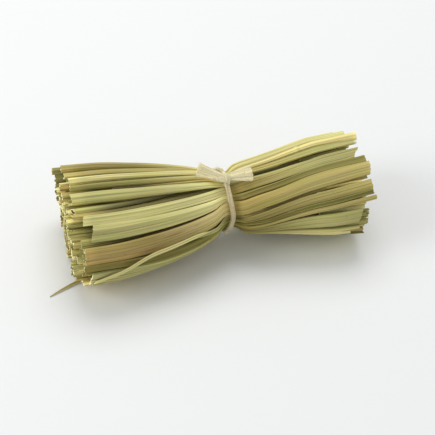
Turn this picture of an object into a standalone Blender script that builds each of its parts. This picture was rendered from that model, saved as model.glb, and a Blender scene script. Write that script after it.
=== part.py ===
"""A bunch of dried reeds, cut short and tied round the middle with cotton string, lying on its side.

The bunch runs along X. The string is at the middle, and the reeds splay from it to a flattened oval at
each end. Round stems and flat leaves lie in three coats round a heart of small reeds:
  - outer coat: each reed is described on its own, because these are the ones that are seen;
  - middle and inner coats: laid by a rule, side by side round the waist;
  - heart: one solid with the outline of the small reeds in the middle.
Every reed is a loft through sections that lie in planes of constant X. The string squeezes the sections
at the waist, and settle() moves them apart, off the floor and out of the heart.
Lengths in the tables are millimetres and angles are degrees. Round the bunch, 0 points to -Y, 90 up.
"""

import math
from collections import namedtuple

import bmesh
import bpy
import numpy as np

MM = 0.001

# The bunch as a whole
LEFT_LENGTH = 51.0  # from the string to the cut
RIGHT_LENGTH = 46.5
STATIONS = np.array([-56.0, -41, -27, -15, -6, -1, 1, 5, 13, 28, 50])
WAIST_RADIUS = 9.2
WAIST_HEIGHT = 15.8
LEFT_END = (25.4, 16.3, 15.6)  # half width, half height and height of the centre of the oval
RIGHT_END = (22.3, 15.2, 14.6)
LEFT_SPREAD = 0.7  # the smaller, the more suddenly the reeds splay beside the string
RIGHT_SPREAD = 0.5
LEFT_SAG = (0.6, 0.0)  # how much flatter the top and the underside are half way to the left end
RIGHT_SAG = (0.25, 0.55)
GAP = 0.16

# Coats of reeds: depth of the middle of the coat at the waist and at the ends
COAT_DEPTH = {"outer": (0.85, 1.5), "middle": (2.45, 4.7), "inner": (4.0, 7.5)}
WAIST_THICKNESS = {"outer": 1.45, "middle": 1.35, "inner": 1.3}
COAT_SIDES = {"outer": 8, "middle": 6, "inner": 6}
LEFT_SWING = (12.0, -30.0, 35.0)  # the most, where round the waist, and how far round from there
RIGHT_SWING = (50.0, 5.0, 60.0)
RIGHT_LATENESS = 1.35  # above 1, the swing lags behind the splay, so that the reeds run straighter
FIRST_WAIST_ANGLE = {"outer": 138.0, "middle": 121.0, "inner": 110.0}
HEART_DEPTH = (4.95, 9.3)
HEART_ENDS = (-51.5, 43.0)
HEART_SIDES = 16

# The string
STRING_RADIUS = 1.0
STRING_CLEARANCE = 0.35
STRING_LEAN = 0.06  # the loop's plane leans, so that its underside is nearer the left end
KNOT_ANGLE = 82.0

SEED = 11

STRAW = (0.62, 0.58, 0.30)
TAN = (0.52, 0.40, 0.20)
COTTON = (0.80, 0.74, 0.58)

RESTING = ("rest_stem_1", "rest_leaf_2", "rest_stem_2")  # they lie flat on the floor near both ends

Reed = namedtuple(
    "Reed",
    "name kind coat left right size_left size_waist size_right ends lift tilt late hop",
    defaults=((0.0, 0.0), (0.0, 0.0), 1.0, 0.0),
)


def stem(name, coat, left, right, across_left, waist_width, across_right, ends, **more):
    """A round hollow stem. The string squeezes it to waist_width."""
    sizes = (across_left, across_left), waist_width, (across_right, across_right)
    return Reed(name, "stem", coat, left, right, *sizes, ends, **more)


def leaf(name, coat, left, right, size_left, waist_width, size_right, ends, **more):
    """A flat or folded leaf, whose sizes are (width, thickness)."""
    return Reed(name, "leaf", coat, left, right, size_left, waist_width, size_right, ends, **more)


def outer_coat():
    """The reeds that are seen, in order round the bunch from the top of the back, over the front."""
    return [
        stem("top_stem", "outer", 140, 150, 2.4, 1.7, 2.3, (-51.8, 43.5)),
        leaf("slim_tan_leaf", "outer", 116, 141, (2.8, 1.1), 2.0, (2.8, 1.1), (-51.6, 44.5)),
        stem("pale_stem", "outer", 103, 131, 2.5, 2.2, 2.5, (-50.7, 45.7)),
        stem("jointed_stem", "outer", 93, 117, 2.1, 1.7, 2.6, (-51.0, 48.6)),
        leaf("yellow_leaf", "outer", 88, 104, (1.8, 1.0), 1.6, (3.1, 1.3), (-38, 48.0), lift=(-0.2, 0)),
        leaf("broad_stem", "outer", 80.5, 95.5, (4.4, 2.9), 1.8, (1.8, 1.2), (-51.5, 45), lift=(0.3, -1.6)),
        leaf("pale_leaf_upper", "outer", 58, 88.5, (3.7, 1.3), 3.5, (4.6, 1.5), (-49.5, 47.3)),
        leaf("pale_leaf_broad", "outer", 46.2, 79.5, (5.8, 1.8), 2.5, (2.6, 2.2), (-48.0, 47.6)),
        leaf("tan_leaf_broad", "outer", 21.5, 68.5, (5.6, 1.4), 5.3, (5.6, 1.5), (-50.8, 48.3)),
        leaf("crossing_strip", "outer", -18, 60.5, (1.6, 0.8), 1.2, (1.6, 0.9), (-49, 46.4), lift=(1.9, -1.2),
             late=18.0, hop=14.0),
        leaf("dark_leaf", "outer", 9, 49, (2.0, 1.1), 1.6, (3.6, 1.4), (-51.3, 46.7), late=1.8),
        leaf("dark_leaf_slim", "outer", 3, 41, (1.8, 1.1), 1.2, (1.6, 1.2), (-51.0, 46.6), late=1.8),
        stem("slim_stem", "outer", -3, 34, 1.5, 1.4, 1.6, (-50, 47.2), lift=(-1.2, 0), late=1.8),
        leaf("green_leaf_broad", "outer", -8.5, 14, (6.2, 1.3), 2.6, (4.9, 1.4), (-50.2, 42.5), late=1.5),
        stem("low_stem", "outer", -29, -6.5, 2.0, 1.6, 1.7, (-49, 41)),
        leaf("low_leaf", "outer", -44, -24, (5.6, 1.5), 2.4, (4.8, 1.4), (-52.0, 39.5)),
        leaf("rest_leaf_1", "outer", -62, -47, (6.0, 1.6), 2.6, (5.4, 1.5), (-53.6, 44.5)),
        stem("rest_stem_1", "outer", -80, -70, 3.3, 2.1, 3.0, (-53.0, 45.5)),
        leaf("rest_leaf_2", "outer", -98, -93, (6.6, 1.7), 2.8, (5.6, 1.6), (-54.0, 46)),
        stem("rest_stem_2", "outer", -115, -114, 3.2, 2.1, 2.9, (-53.4, 45)),
        leaf("back_leaf_1", "outer", -134, -134, (6.8, 1.6), 2.8, (5.4, 1.5), (-54.2, 47.5)),
        stem("back_stem_1", "outer", -154, -154, 3.2, 2.1, 2.9, (-53.2, 46)),
        leaf("back_leaf_2", "outer", -172, -172, (7.0, 1.7), 3.0, (5.4, 1.5), (-54.4, 47)),
        stem("back_stem_2", "outer", -191, -187, 3.0, 2.0, 2.4, (-53.6, 46.5)),
        leaf("back_leaf_3", "outer", -207, -200, (5.4, 1.5), 2.6, (3.6, 1.4), (-54.6, 45)),
    ]


def swung(angle, most, middle, reach):
    """How far the reeds near an angle of the waist have swung round the bunch at one end."""
    return most * math.exp(-(((angle - middle) / reach) ** 2))


def inside_coat(coat, count, rng):
    """A coat laid by rule. The reeds swing round the bunch as the outer ones do, and each strays a little."""
    reeds = []
    for i in range(count):
        angle = FIRST_WAIST_ANGLE[coat] - 360 * i / count
        follows = {"middle": 0.8, "inner": 0.5}[coat]
        left = angle + follows * swung(angle, *LEFT_SWING) + rng.uniform(-3, 3)
        right = angle + follows * swung(angle, *RIGHT_SWING) + rng.uniform(-3, 3)
        ends = (rng.uniform(-1.0, 2.0) - LEFT_LENGTH, RIGHT_LENGTH - rng.uniform(0.5, 5.0))
        if i % 3 == 1:
            across = rng.uniform(2.2, 2.8)
            sizes = (across, across), 2.0, (across, across)
            kind = "stem"
        else:
            width = rng.uniform(3.6, 4.8)
            sizes = (width, 1.6), 2.5, (0.85 * width, 1.5)
            kind = "leaf"
        tilt = tuple(rng.uniform(-14, 14, 2))
        reeds.append(Reed(f"{coat}_{kind}_{i + 1:02d}", kind, coat, left, right, *sizes, ends, (0.0, 0.0), tilt))
    return reeds


def placed_by_hand(reeds):
    """Some reeds of the middle coat come up through gaps of the outer coat at the left end."""
    moved = {
        "middle_stem_02": dict(left=69.5, lift=(2.0, 0), size_left=(2.0, 2.0), ends=(-52.5, 44.0)),
        "middle_leaf_03": dict(left=64.5, lift=(2.2, 0), size_left=(2.0, 1.1), ends=(-52.5, 43.0)),
        "middle_leaf_04": dict(left=35.5, lift=(1.0, 0), size_left=(3.0, 1.1), ends=(-51.0, 44.0)),
        "middle_stem_05": dict(left=25.0, size_left=(1.9, 1.9)),
    }
    return [reed._replace(**moved.get(reed.name, {})) for reed in reeds]


def all_reeds():
    rng = np.random.default_rng(SEED)
    reeds = outer_coat() + inside_coat("middle", 17, rng) + inside_coat("inner", 13, rng)
    return placed_by_hand(reeds)


def blend(a, b, share):
    return a + (b - a) * share


def spread(x):
    """How far the bunch has opened at x, from 0 at the string to 1 at an end."""
    length, sharpness = (LEFT_LENGTH, LEFT_SPREAD) if x < 0 else (RIGHT_LENGTH, RIGHT_SPREAD)
    beyond_string = max(abs(x) - STRING_RADIUS, 0.0)
    return math.sin(math.pi / 2 * min(beyond_string / length, 1.0)) ** sharpness


def oval(x, depth=0.0):
    """Half width, half height and height of the centre of the bunch at x, or of a surface depth inside it."""
    end = LEFT_END if x < 0 else RIGHT_END
    opened = spread(x)
    top, underside = LEFT_SAG if x < 0 else RIGHT_SAG
    length = LEFT_LENGTH if x < 0 else RIGHT_LENGTH
    half_way = math.sin(math.pi * min(max(abs(x) - STRING_RADIUS, 0.0) / length, 1.0))
    half_width = blend(WAIST_RADIUS, end[0], opened)
    half_height = blend(WAIST_RADIUS, end[1], opened) - (top + underside) * half_way
    centre = blend(WAIST_HEIGHT, end[2], opened) + (underside - top) * half_way
    return half_width - depth, half_height - depth, centre


def round_oval(x, angle, depth):
    """The point of the YZ plane at an angle round the bunch and a depth inside it, and the way round it."""
    half_width, half_height, centre = oval(x, depth)
    a = math.radians(angle)
    place = np.array([-half_width * math.cos(a), centre + half_height * math.sin(a)])
    along = np.array([half_width * math.sin(a), half_height * math.cos(a)])
    return place, math.atan2(along[1], along[0])


def waist_layout(reeds):
    """Waist angle and width of each reed: those of a coat lie side by side and fill the way round."""
    layout = {}
    for coat, (depth, _) in COAT_DEPTH.items():
        members = [r for r in reeds if r.coat == coat]
        radius = WAIST_RADIUS - depth
        room = 2 * math.pi * radius - GAP * len(members)
        squeeze = room / sum(r.size_waist for r in members)
        angle = FIRST_WAIST_ANGLE[coat]
        for i, reed in enumerate(members):
            width = reed.size_waist * squeeze
            if i:
                angle -= math.degrees((width / 2 + before / 2 + GAP) / radius)
            layout[reed.name] = (angle, width)
            before = width
    return layout


def section_of(reed, waist_angle, waist_width, x):
    """Centre, width, thickness and slope of the width of a reed's section at x, before it settles."""
    side = 0 if x < 0 else 1
    opened = spread(x)
    end_angle = (reed.left, reed.right)[side]
    end_width, end_thickness = (reed.size_left, reed.size_right)[side]
    waist_depth, end_depth = COAT_DEPTH[reed.coat]
    if reed.coat != "outer":
        risen = opened**2
    else:
        risen = min((5.0 if reed.lift[side] > 0 else 2.2) * opened, 1.0)
    depth = blend(waist_depth, end_depth, opened) - reed.lift[side] * risen
    leaves_at = waist_angle + (reed.hop * min(2 * opened, 1.0) if x < 0 else 0.0)
    angle = blend(leaves_at, end_angle, opened ** (reed.late if x < 0 else RIGHT_LATENESS))
    place, slope = round_oval(x, angle, depth)
    width = blend(waist_width, end_width, opened)
    thickness = blend(WAIST_THICKNESS[reed.coat], end_thickness, opened)
    slope += math.radians(reed.tilt[side]) * opened
    return place, width, thickness, slope


def settle(places, widths, thicknesses, slopes, lying, rounds=260):
    """Moves sections of the same station apart. Each counts as four discs side by side across its width.

    A moved section pulls its neighbours along the reed with it, because a reed is stiff. Those at lying are
    kept on the floor.
    """
    reeds, stations = widths.shape
    discs = 4
    along = np.stack([np.cos(slopes), np.sin(slopes)], axis=-1)
    steps = np.linspace(-0.5, 0.5, discs)
    reach = np.maximum(widths - thicknesses, 0.0)
    offsets = steps[:, None] * reach[..., None, None] * along[..., None, :]
    radii = np.repeat(thicknesses[..., None] / 2, discs, axis=-1)
    owner = np.repeat(np.arange(reeds), discs)
    strangers = owner[:, None] != owner[None, :]
    start = places.copy()
    hearts = [oval(x, blend(*HEART_DEPTH, spread(x))) for x in STATIONS]
    near_string = np.abs(STATIONS) <= 1
    centres = np.array([[0.0, oval(x)[2]] for x in STATIONS])
    for _ in range(rounds):
        at = places[:, :, None, :] + offsets
        move = np.zeros_like(places)
        for s in range(stations):
            points = at[:, s].reshape(-1, 2)
            size = radii[:, s].reshape(-1)
            apart = points[:, None, :] - points[None, :, :]
            distance = np.sqrt((apart**2).sum(-1)) + 1e-9
            over = size[:, None] + size[None, :] + GAP - distance
            touching = strangers & (over > 0)
            push = np.where(touching, over * 0.5, 0.0)[..., None] * apart / distance[..., None]
            count = np.maximum(touching.sum(1), 1)
            pushed = push.sum(1) / count[:, None] * 1.6
            # the floor
            low = size - points[:, 1]
            pushed[:, 1] += np.where(low > 0, low, 0.0)
            # the heart
            half_width, half_height, centre = hearts[s]
            relative = (points - [0.0, centre]) / [half_width, half_height]
            inside = np.sqrt((relative**2).sum(1)) + 1e-9
            outward = (points - [0.0, centre]) / np.linalg.norm(points - [0.0, centre] + 1e-9, axis=1)[:, None]
            short = size + GAP - (inside - 1.0) * np.linalg.norm(points - [0.0, centre], axis=1) / inside
            pushed += np.where(short > 0, short, 0.0)[:, None] * outward
            if near_string[s]:
                from_middle = points - centres[s]
                radius = np.linalg.norm(from_middle, axis=1)
                out = radius + size - WAIST_RADIUS
                pushed -= np.where(out > 0, out, 0.0)[:, None] * from_middle / radius[:, None]
            per_reed = pushed.reshape(reeds, discs, 2)
            strongest = np.abs(per_reed).sum(-1).argmax(1)
            move[:, s] = 0.5 * per_reed.mean(1) + 0.5 * per_reed[np.arange(reeds), strongest]
        places = places + 0.6 * move
        strayed = places - start
        neighbours = strayed.copy()
        neighbours[:, 1:-1] = (strayed[:, :-2] + strayed[:, 2:]) / 2
        places = start + 0.97 * (strayed + 0.12 * (neighbours - strayed))
        heights = places[..., 1]
        heights[lying] = thicknesses[lying] / 2
    return places


def sections(reeds):
    """For each reed, the settled sections at the stations between its ends and at the ends themselves."""
    layout = waist_layout(reeds)
    raw = [[section_of(reed, *layout[reed.name], x) for x in STATIONS] for reed in reeds]
    places = np.array([[s[0] for s in row] for row in raw])
    widths = np.array([[s[1] for s in row] for row in raw])
    thicknesses = np.array([[s[2] for s in row] for row in raw])
    slopes = np.array([np.unwrap([s[3] for s in row]) for row in raw])
    slopes -= 2 * math.pi * np.round(slopes[:, 5:6] / (2 * math.pi))
    resting = [reed.name in RESTING for reed in reeds]
    ends = [0, 1, -2, -1]
    slopes[np.ix_(resting, ends)] = math.pi * np.round(slopes[np.ix_(resting, ends)] / math.pi)
    places = settle(places, widths, thicknesses, slopes, np.ix_(resting, ends))
    rows = {}
    for i, reed in enumerate(reeds):
        inner = [x for x in STATIONS if reed.ends[0] + 1 < x < reed.ends[1] - 1]
        found = []
        for x in [reed.ends[0], *inner, reed.ends[1]]:
            y, z, width, thickness, slope = (
                float(np.interp(x, STATIONS, column))
                for column in (places[i, :, 0], places[i, :, 1], widths[i], thicknesses[i], slopes[i])
            )
            found.append((x, y, z, width, thickness, slope))
        rows[reed.name] = found
    return rows


def ring(section, sides):
    """A flattened polygon in a plane of constant X, as wide and thick as the section says."""
    x, y, z, width, thickness, slope = section
    turn = 0.5 if sides == 8 else 0.0
    fit = math.cos(math.pi / 8) if sides == 8 else math.cos(math.pi / 6)
    points = []
    for k in range(sides):
        a = 2 * math.pi * (k + turn) / sides
        across = width / 2 * math.cos(a) / (fit if sides == 8 else 1.0)
        up = thickness / 2 * math.sin(a) / fit
        points.append((
            x * MM,
            (y + across * math.cos(slope) - up * math.sin(slope)) * MM,
            (z + across * math.sin(slope) + up * math.cos(slope)) * MM,
        ))
    return points


def loft(name, rings, material, collection):
    """A closed solid through rings of equal count, capped at both ends."""
    bm = bmesh.new()
    loops = [[bm.verts.new(point) for point in points] for points in rings]
    for first, second in zip(loops, loops[1:]):
        for k, vertex in enumerate(first):
            after = (k + 1) % len(first)
            bm.faces.new((vertex, second[k], second[after], first[after]))
    bm.faces.new(loops[0])
    bm.faces.new(reversed(loops[-1]))
    bmesh.ops.recalc_face_normals(bm, faces=bm.faces)
    mesh = bpy.data.meshes.new(name)
    bm.to_mesh(mesh)
    bm.free()
    mesh.materials.append(material)
    obj = bpy.data.objects.new(name, mesh)
    collection.objects.link(obj)
    return obj


def heart_solid(material, collection):
    """The outline of the small reeds in the middle of the bunch."""
    rings = []
    inner = [x for x in STATIONS if HEART_ENDS[0] < x < HEART_ENDS[1]]
    for x in [HEART_ENDS[0], *inner, HEART_ENDS[1]]:
        half_width, half_height, centre = oval(x, blend(*HEART_DEPTH, spread(x)))
        rings.append([
            (x * MM, -half_width * math.cos(a) * MM, (centre + half_height * math.sin(a)) * MM)
            for a in np.linspace(0, 2 * math.pi, HEART_SIDES, endpoint=False)
        ])
    return loft("inner_reeds", rings, material, collection)


def broken_sliver(material, collection):
    """A broken sliver of brown leaf, caught under the left end, which comes to a point on the floor."""
    run = [(-49.0, -9.9, 0.42, 1.0, 0.6), (-53.5, -11.4, 0.42, 1.3, 0.75), (-57.5, -13.1, 0.4, 1.0, 0.6),
           (-62.4, -15.4, 0.2, 0.3, 0.25)]
    rings = [ring((x, y, z, width, thickness, 0.0), 6) for x, y, z, width, thickness in run]
    return loft("broken_sliver", rings, material, collection)


def meshed(curve_object):
    """The curve as a welded mesh object in its place."""
    graph = bpy.context.evaluated_depsgraph_get()
    mesh = bpy.data.meshes.new_from_object(curve_object.evaluated_get(graph))
    bm = bmesh.new()
    bm.from_mesh(mesh)
    bmesh.ops.remove_doubles(bm, verts=bm.verts, dist=0.00002)
    bmesh.ops.recalc_face_normals(bm, faces=bm.faces)
    bm.to_mesh(mesh)
    bm.free()
    name = curve_object.name
    collection = curve_object.users_collection[0]
    matrix = curve_object.matrix_world.copy()
    bpy.data.objects.remove(curve_object)
    obj = bpy.data.objects.new(name, mesh)
    obj.matrix_world = matrix
    collection.objects.link(obj)
    return obj


def string_curve(name, points, radii, cyclic, collection):
    """A round string along points, in millimetres, with its radius at each."""
    curve = bpy.data.curves.new(name, "CURVE")
    curve.dimensions = "3D"
    curve.bevel_depth = STRING_RADIUS * MM
    curve.bevel_resolution = 2
    curve.use_fill_caps = not cyclic
    spline = curve.splines.new("POLY")
    spline.points.add(len(points) - 1)
    for target, place, radius in zip(spline.points, points, radii):
        target.co = (*[v * MM for v in place], 1.0)
        target.radius = radius / STRING_RADIUS
    spline.use_cyclic_u = cyclic
    obj = bpy.data.objects.new(name, curve)
    collection.objects.link(obj)
    return obj


def round_string(angle, radius):
    """A point of the string's leaning loop."""
    a = math.radians(angle)
    height = radius * math.sin(a)
    return (STRING_LEAN * height, -radius * math.cos(a), oval(0)[2] + height)


def joined(target, other):
    """Unites other with target, and leaves other as a hidden helper."""
    modifier = target.modifiers.new(f"join_{other.name}", "BOOLEAN")
    modifier.operation = "UNION"
    modifier.object = other
    other.hide_render = True
    other.display_type = "WIRE"


def cotton_tie(material, collection, helpers):
    """One length of string: a loop round the waist, a knot on top and two short frayed ends."""
    loop_radius = WAIST_RADIUS + STRING_CLEARANCE + STRING_RADIUS
    loop_points = [round_string(KNOT_ANGLE + 15 * k, loop_radius) for k in range(24)]
    loop = meshed(string_curve("cotton_tie", loop_points, [STRING_RADIUS] * 24, True, collection))
    knot_at = round_string(KNOT_ANGLE, loop_radius + 0.9)
    bpy.ops.mesh.primitive_uv_sphere_add(segments=12, ring_count=8, radius=1.0)
    knot = bpy.context.object
    knot.name = "knot"
    knot.location = [v * MM for v in knot_at]
    knot.scale = (1.9 * MM, 2.0 * MM, 1.7 * MM)
    tails = {
        "left_end": [(-0.6, -0.2, 0.2), (-3.0, -0.2, 1.7), (-5.8, 0.0, 3.0), (-8.4, 0.4, 3.8)],
        "right_end": [(0.6, -0.2, 0.2), (3.0, -1.0, 1.5), (5.4, -1.4, 2.3), (7.9, -1.8, 2.5)],
    }
    joined(loop, knot)
    for name, route in tails.items():
        points = [tuple(a + b for a, b in zip(knot_at, step)) for step in route]
        tail = meshed(string_curve(name, points, [1.0, 1.2, 1.7, 2.3], False, helpers))
        joined(loop, tail)
    for helper in (knot,):
        for owner in list(helper.users_collection):
            owner.objects.unlink(helper)
        helpers.objects.link(helper)
    loop.data.materials.clear()
    loop.data.materials.append(material)
    return loop


def painted(name, colour, roughness):
    material = bpy.data.materials.new(name)
    material.use_nodes = True
    shader = material.node_tree.nodes["Principled BSDF"]
    shader.inputs["Base Color"].default_value = (*colour, 1.0)
    shader.inputs["Roughness"].default_value = roughness
    return material


def centred(objects):
    """Hangs the objects on an empty that puts the middle of their footprint at the origin."""
    bpy.context.view_layer.update()
    graph = bpy.context.evaluated_depsgraph_get()
    corners = []
    for obj in objects:
        evaluated = obj.evaluated_get(graph)
        corners += [evaluated.matrix_world @ v.co for v in evaluated.to_mesh().vertices]
    low = np.array(corners).min(0)
    high = np.array(corners).max(0)
    bunch = bpy.data.objects.new("bunch", None)
    bpy.context.scene.collection.objects.link(bunch)
    bunch.location = (-(low[0] + high[0]) / 2, -(low[1] + high[1]) / 2, -low[2])
    return bunch


def main():
    for obj in list(bpy.data.objects):
        bpy.data.objects.remove(obj)
    collection = bpy.data.collections.new("bunch_of_reeds")
    helpers = bpy.data.collections.new("helpers")
    bpy.context.scene.collection.children.link(collection)
    bpy.context.scene.collection.children.link(helpers)
    straw = painted("straw", STRAW, 0.55)
    tan = painted("tan_reed", TAN, 0.6)
    cotton = painted("cotton", COTTON, 0.9)
    reeds = all_reeds()
    rows = sections(reeds)
    objects = []
    for reed in reeds:
        rings = [ring(section, COAT_SIDES[reed.coat]) for section in rows[reed.name]]
        material = tan if "tan" in reed.name else straw
        objects.append(loft(reed.name, rings, material, collection))
    objects.append(heart_solid(straw, collection))
    objects.append(broken_sliver(tan, collection))
    objects.append(cotton_tie(cotton, collection, helpers))
    bunch = centred(objects)
    for obj in objects + list(helpers.objects):
        obj.parent = bunch


main()
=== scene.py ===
"""A bunch of dried reeds and reed leaves, cut short and tied round the middle with cotton string.

Each kind of reed is modelled once as a straight piece (hollow stem, flat sheath, folded, ribbed or rolled
blade, slim strip), copied, and laid along the course that a reed's solid in the frame gives. The small reeds
of the middle, and the short ones that fill the gaps between the coats, are laid in the same way. The string
is three twisted plies round the waist, a knot with a small loop, and two tails of loose yarn.
Lengths are metres unless a name or comment says otherwise. The bunch runs along X and lies on Z = 0.
"""

import math
from collections import namedtuple

import bmesh
import bpy
import numpy as np
from mathutils import Matrix, Vector


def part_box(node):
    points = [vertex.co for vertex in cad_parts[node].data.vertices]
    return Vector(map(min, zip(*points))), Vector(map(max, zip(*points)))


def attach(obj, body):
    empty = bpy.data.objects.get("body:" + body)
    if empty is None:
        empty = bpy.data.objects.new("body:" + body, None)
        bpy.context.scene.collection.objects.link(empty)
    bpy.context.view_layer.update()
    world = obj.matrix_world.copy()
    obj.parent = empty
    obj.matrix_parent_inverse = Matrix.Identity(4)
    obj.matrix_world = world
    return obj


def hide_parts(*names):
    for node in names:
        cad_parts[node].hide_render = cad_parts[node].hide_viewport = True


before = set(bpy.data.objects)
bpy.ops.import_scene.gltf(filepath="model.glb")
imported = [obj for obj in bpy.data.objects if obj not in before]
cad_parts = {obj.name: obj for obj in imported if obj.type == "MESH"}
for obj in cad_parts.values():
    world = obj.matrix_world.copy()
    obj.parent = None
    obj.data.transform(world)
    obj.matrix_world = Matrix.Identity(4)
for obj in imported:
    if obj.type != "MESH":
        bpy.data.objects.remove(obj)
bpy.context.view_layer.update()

MM = 0.001
LENGTH = 97 * MM  # of every straight piece, before it is laid
HALF_BUNCH = 48  # from the string to either end, roughly, in millimetres
SEED = 7

# Colours as they look in plain daylight, red, green and blue out of 255
TONES = {
    "cream": (252, 238, 168),
    "pale straw": (238, 231, 166),
    "straw": (234, 224, 156),
    "yellow straw": (242, 222, 142),
    "pale sage": (214, 208, 144),
    "sage": (190, 184, 121),
    "moss": (163, 156, 89),
    "olive": (158, 144, 77),
    "wheat": (188, 173, 106),
    "tan": (178, 154, 93),
    "pale tan": (228, 210, 146),
    "ochre": (180, 160, 88),
    "grey green": (172, 166, 110),
    "brown": (134, 102, 58),
    "deep shade": (84, 72, 38),
    "cotton": (254, 245, 204),
    "worn cotton": (216, 202, 160),
}
CUT_END = (255, 248, 196)
CUT_PORE = (128, 92, 52)
HOLLOW = (96, 66, 36)
SUNNY_SIDE = (1.02, 1.0, 0.93)  # times the tone of the reed
UNDERSIDE = (0.88, 0.88, 0.79)  # times the tone of the leaf
FLOOR = (0.86, 0.87, 0.865)


def linear(colour):
    """A colour out of 255 as the shader's linear values."""
    shares = [value / 255 for value in colour]
    return tuple(v / 12.92 if v <= 0.04045 else ((v + 0.055) / 1.055) ** 2.4 for v in shares)


def tone(name):
    """One of the named colours as linear values."""
    return np.array(linear(TONES[name]))


# ---------------------------------------------------------------- shaders


class Value:
    """A shader socket. Python's operators on it add the Math nodes that work them out."""

    def __init__(self, finish, socket):
        self.finish = finish
        self.socket = socket

    def __add__(self, other):
        return self.finish.maths("ADD", self, other)

    def __sub__(self, other):
        return self.finish.maths("SUBTRACT", self, other)

    def __rsub__(self, other):
        return self.finish.maths("SUBTRACT", other, self)

    def __mul__(self, other):
        return self.finish.maths("MULTIPLY", self, other)

    __radd__ = __add__
    __rmul__ = __mul__


class Finish:
    """A material in the making: a Principled shader and the nodes that lead to it."""

    def __init__(self, name):
        self.material = bpy.data.materials.new(name)
        self.material.use_nodes = True
        self.tree = self.material.node_tree
        self.shader = self.tree.nodes["Principled BSDF"]

    def node(self, kind, settings, sockets, out=0):
        """Adds a node, sets it up, fills its sockets with values or links, and gives back one output."""
        made = self.tree.nodes.new(kind)
        for name, value in settings.items():
            setattr(made, name, value)
        for name, value in sockets.items():
            self.put(made.inputs[name], value)
        return Value(self, made.outputs[out])

    def put(self, socket, value):
        """Links a value to a socket, or sets the socket to a plain number or colour."""
        if isinstance(value, Value):
            self.tree.links.new(value.socket, socket)
        else:
            socket.default_value = value

    def maths(self, operation, *values):
        """A Math node on these values."""
        return self.node("ShaderNodeMath", {"operation": operation}, dict(enumerate(values)))

    def clamped(self, value, low, high):
        """0 where value is under low, 1 where it is over high, and a smooth step between."""
        return self.node(
            "ShaderNodeMapRange",
            {"interpolation_type": "SMOOTHSTEP"},
            {"Value": value, "From Min": low, "From Max": high},
        )

    def attribute(self, name, out):
        """What lay and paint have stored on the piece under this name."""
        return self.node("ShaderNodeAttribute", {"attribute_name": name}, {}, out)

    def mixed(self, share, first, second, how="MIX"):
        """Colours mixed by share, from first to second."""
        return self.node(
            "ShaderNodeMix", {"data_type": "RGBA", "blend_type": how}, {0: share, 6: first, 7: second}, out=2
        )

    def drawn_out(self, vector, along, across, detail, shift=0.0):
        """Noise in streaks: along and across are the length and width of a streak."""
        scaled = self.node(
            "ShaderNodeVectorMath",
            {"operation": "MULTIPLY_ADD"},
            {0: vector, 1: (1 / along, 1 / across, 1 / across), 2: (shift, shift, shift)},
        )
        return self.node("ShaderNodeTexNoise", {}, {"Vector": scaled, "Scale": 1.0, "Detail": detail})

    def grey(self, value):
        """A number as a grey colour."""
        return self.node("ShaderNodeCombineColor", {}, {0: value, 1: value, 2: value})

    def relief(self, height, depth):
        """A Bump node that reads height, whose full range stands depth proud."""
        bump = self.node("ShaderNodeBump", {}, {"Height": height, "Strength": 1.0, "Distance": depth})
        self.put(self.shader.inputs["Normal"], bump)

    def set(self, **sockets):
        """Fills the shader's own sockets and gives back the finished material."""
        names = {"colour": "Base Color", "roughness": "Roughness", "specular": "Specular IOR Level"}
        for name, value in sockets.items():
            self.put(self.shader.inputs[names[name]], value)
        return self.material


def rgba(colour):
    """A colour with the full alpha that a colour socket asks for."""
    return (*colour, 1.0)


def reed_skin(name, sheen, shade):
    """Dry reed skin in the piece's own tones, with fine veins, streaks, mottling and a few brown specks.

    sheen is how much smoother it is than dull leaf, and shade is a colour that tints it all over.
    """
    skin = Finish(name)
    own = skin.attribute("tone", "Color")
    grain = skin.attribute("grain", "Vector")
    veins = skin.drawn_out(grain, 60 * MM, 0.20 * MM, 2.0)
    streaks = skin.drawn_out(grain, 40 * MM, 0.70 * MM, 2.0, shift=11.3)
    grooves = skin.drawn_out(grain, 70 * MM, 0.42 * MM, 0.0, shift=21.9)
    patches = skin.drawn_out(grain, 13 * MM, 3.0 * MM, 2.0, shift=4.7)
    specks = skin.drawn_out(grain, 1.1 * MM, 0.35 * MM, 1.0, shift=31.1)
    ribs_light = skin.clamped(streaks, 0.36, 0.64)
    grooved = skin.clamped(grooves, 0.62, 0.70)
    light = 0.70 + 0.20 * skin.clamped(veins, 0.3, 0.7) + 0.25 * ribs_light - 0.30 * grooved
    coloured = skin.mixed(1.0, own, skin.grey(light), "MULTIPLY")
    greener = skin.mixed(1.0, coloured, rgba((0.93, 0.99, 0.84)), "MULTIPLY")
    coloured = skin.mixed(skin.clamped(patches, 0.42, 0.72), coloured, greener)
    warmer = skin.mixed(1.0, coloured, rgba((0.96, 0.80, 0.56)), "MULTIPLY")
    coloured = skin.mixed(0.6 * skin.clamped(streaks, 0.56, 0.74), coloured, warmer)
    darker = skin.mixed(1.0, coloured, rgba((0.50, 0.36, 0.22)), "MULTIPLY")
    coloured = skin.mixed(0.75 * skin.clamped(specks, 0.74, 0.80), coloured, darker)
    coloured = skin.mixed(1.0, coloured, rgba(shade), "MULTIPLY")
    skin.relief(0.5 * veins + 0.5 * ribs_light - 0.8 * grooved, 0.09 * MM)
    return skin.set(colour=coloured, roughness=0.66 - sheen + 0.22 * veins, specular=0.42)


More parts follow.
